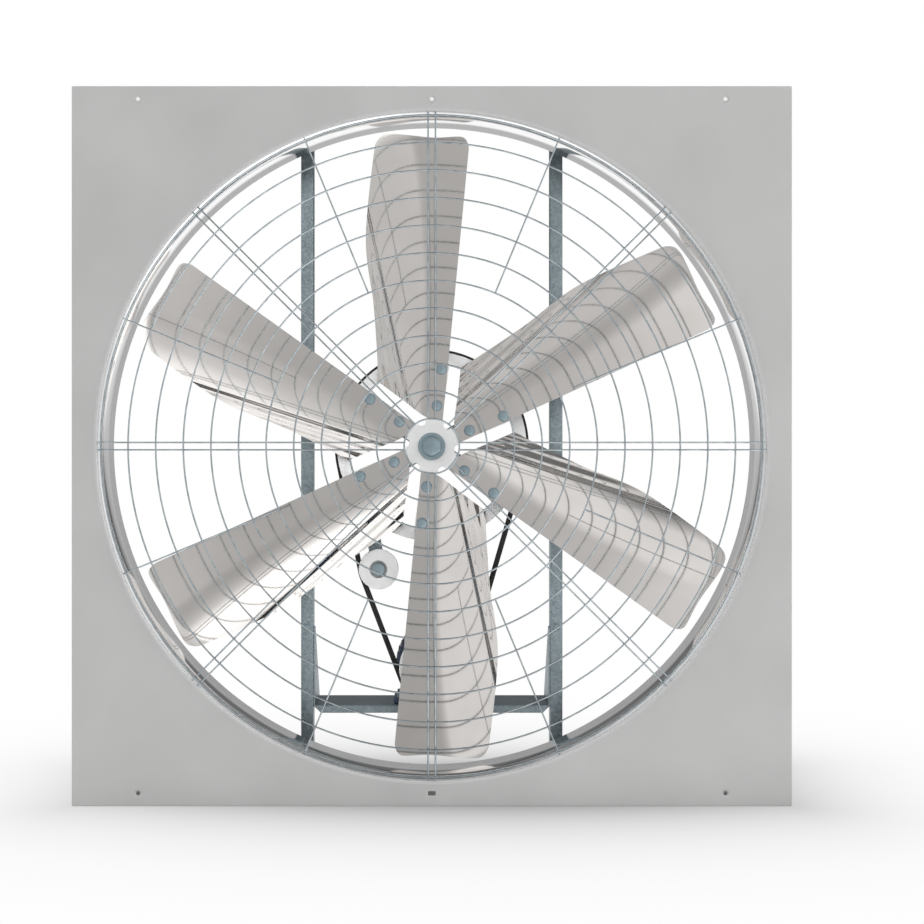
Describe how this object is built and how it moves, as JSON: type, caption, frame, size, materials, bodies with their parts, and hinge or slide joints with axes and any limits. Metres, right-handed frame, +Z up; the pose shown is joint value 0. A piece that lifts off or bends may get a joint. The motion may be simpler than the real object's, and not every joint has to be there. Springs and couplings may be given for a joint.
{
  "type": "whole house fan",
  "caption": "Belt-driven whole house fan: square sheet-metal housing with a bell-mouthed panel, wire guard, pressed blades on a large pulley, and a motor on a shelf.",
  "frame": {"origin": "bottom centre of the overall box: middle of the width and of the depth, at the underside of the housing", "axes": "+X right and +Y from the inlet guard back towards the motor, +Z up"},
  "size_m": [1.38, 0.4148, 1.38],
  "materials": {
    "panel_steel": "smooth light grey sheet steel, satin",
    "galvanised_steel": "galvanised sheet steel, mottled blue-grey",
    "guard_wire": "bright plated steel wire",
    "stainless_steel": "pressed stainless sheet, polished",
    "cast_pulley": "cast alloy, machined faces, light grey",
    "fastener_steel": "zinc plated steel, blue-grey",
    "bearing_steel": "ground steel",
    "belt_rubber": "black V-belt rubber, matt",
    "motor_paint": "dark blue enamel",
    "black_plastic": "black moulded plastic"
  },
  "bodies": {
    "housing": {"front_panel": "panel_steel", "bell_mouth": "panel_steel", "housing_left": "galvanised_steel", "housing_right": "galvanised_steel", "housing_bottom": "galvanised_steel", "housing_top": "galvanised_steel", "inlet_guard": "guard_wire", "left_upright": "galvanised_steel", "right_upright": "galvanised_steel", "left_upright_bolt": "fastener_steel", "right_upright_bolt": "fastener_steel", "motor_shelf": "galvanised_steel", "hub_carrier": "galvanised_steel", "front_bearing": "bearing_steel", "rear_bearing": "bearing_steel", "drive_belt": "belt_rubber", "motor_frame": "motor_paint", "motor_front_shield": "motor_paint", "motor_rear_shield": "motor_paint", "motor_fan_cowl": "motor_paint", "terminal_box": "motor_paint", "terminal_lid": "motor_paint", "cable_gland": "black_plastic", "foot_bolt_left_front": "fastener_steel", "foot_bolt_left_rear": "fastener_steel", "foot_bolt_right_front": "fastener_steel", "foot_bolt_right_rear": "fastener_steel", "pivot_bolt": "fastener_steel", "tensioner_spring": "bearing_steel"},
    "fan_rotor": {"fan_shaft": "bearing_steel", "drive_pulley": "cast_pulley", "hub_cap": "cast_pulley", "hub_washer": "fastener_steel", "hub_bolt": "fastener_steel", "blade_1": "stainless_steel", "blade_2": "stainless_steel", "blade_3": "stainless_steel", "blade_4": "stainless_steel", "blade_5": "stainless_steel", "blade_6": "stainless_steel", "blade_bolt_1_inner": "fastener_steel", "blade_bolt_1_outer": "fastener_steel", "blade_bolt_2_inner": "fastener_steel", "blade_bolt_2_outer": "fastener_steel", "blade_bolt_3_inner": "fastener_steel", "blade_bolt_3_outer": "fastener_steel", "blade_bolt_4_inner": "fastener_steel", "blade_bolt_4_outer": "fastener_steel", "blade_bolt_5_inner": "fastener_steel", "blade_bolt_5_outer": "fastener_steel", "blade_bolt_6_inner": "fastener_steel", "blade_bolt_6_outer": "fastener_steel"},
    "motor_rotor": {"motor_shaft": "bearing_steel", "motor_pulley": "cast_pulley", "motor_fan": "black_plastic"},
    "tensioner": {"tensioner_arm": "galvanised_steel", "idler_bolt": "fastener_steel"},
    "idler": {"idler_pulley": "cast_pulley", "idler_bearing": "bearing_steel"}
  },
  "joints": [
    {"name": "fan_spin", "type": "hinge", "parent": "housing", "child": "fan_rotor", "pos_m": [0, -0.0086, 0.69], "axis": [0, 1, 0], "continuous": true},
    {"name": "motor_spin", "type": "hinge", "parent": "housing", "child": "motor_rotor", "pos_m": [0, -0.0086, 0.2423], "axis": [0, 1, 0], "continuous": true},
    {"name": "tensioner_pivot", "type": "hinge", "parent": "housing", "child": "tensioner", "pos_m": [-0.1371, 0.0114, 0.61026], "axis": [0, -1, 0], "range_deg": [0, 10], "stiffness_Nm_per_rad": 3, "springref_deg": -63.03, "deforming": ["tensioner_spring"]},
    {"name": "idler_spin", "type": "hinge", "parent": "tensioner", "child": "idler", "pos_m": [-0.1074, -0.0086, 0.4415], "axis": [0, 1, 0], "continuous": true}
  ],
  "couplings": [
    {"joint": "motor_spin", "follows": "fan_spin", "ratio": 2.8939},
    {"joint": "idler_spin", "follows": "fan_spin", "ratio": 5.2186}
  ]
}
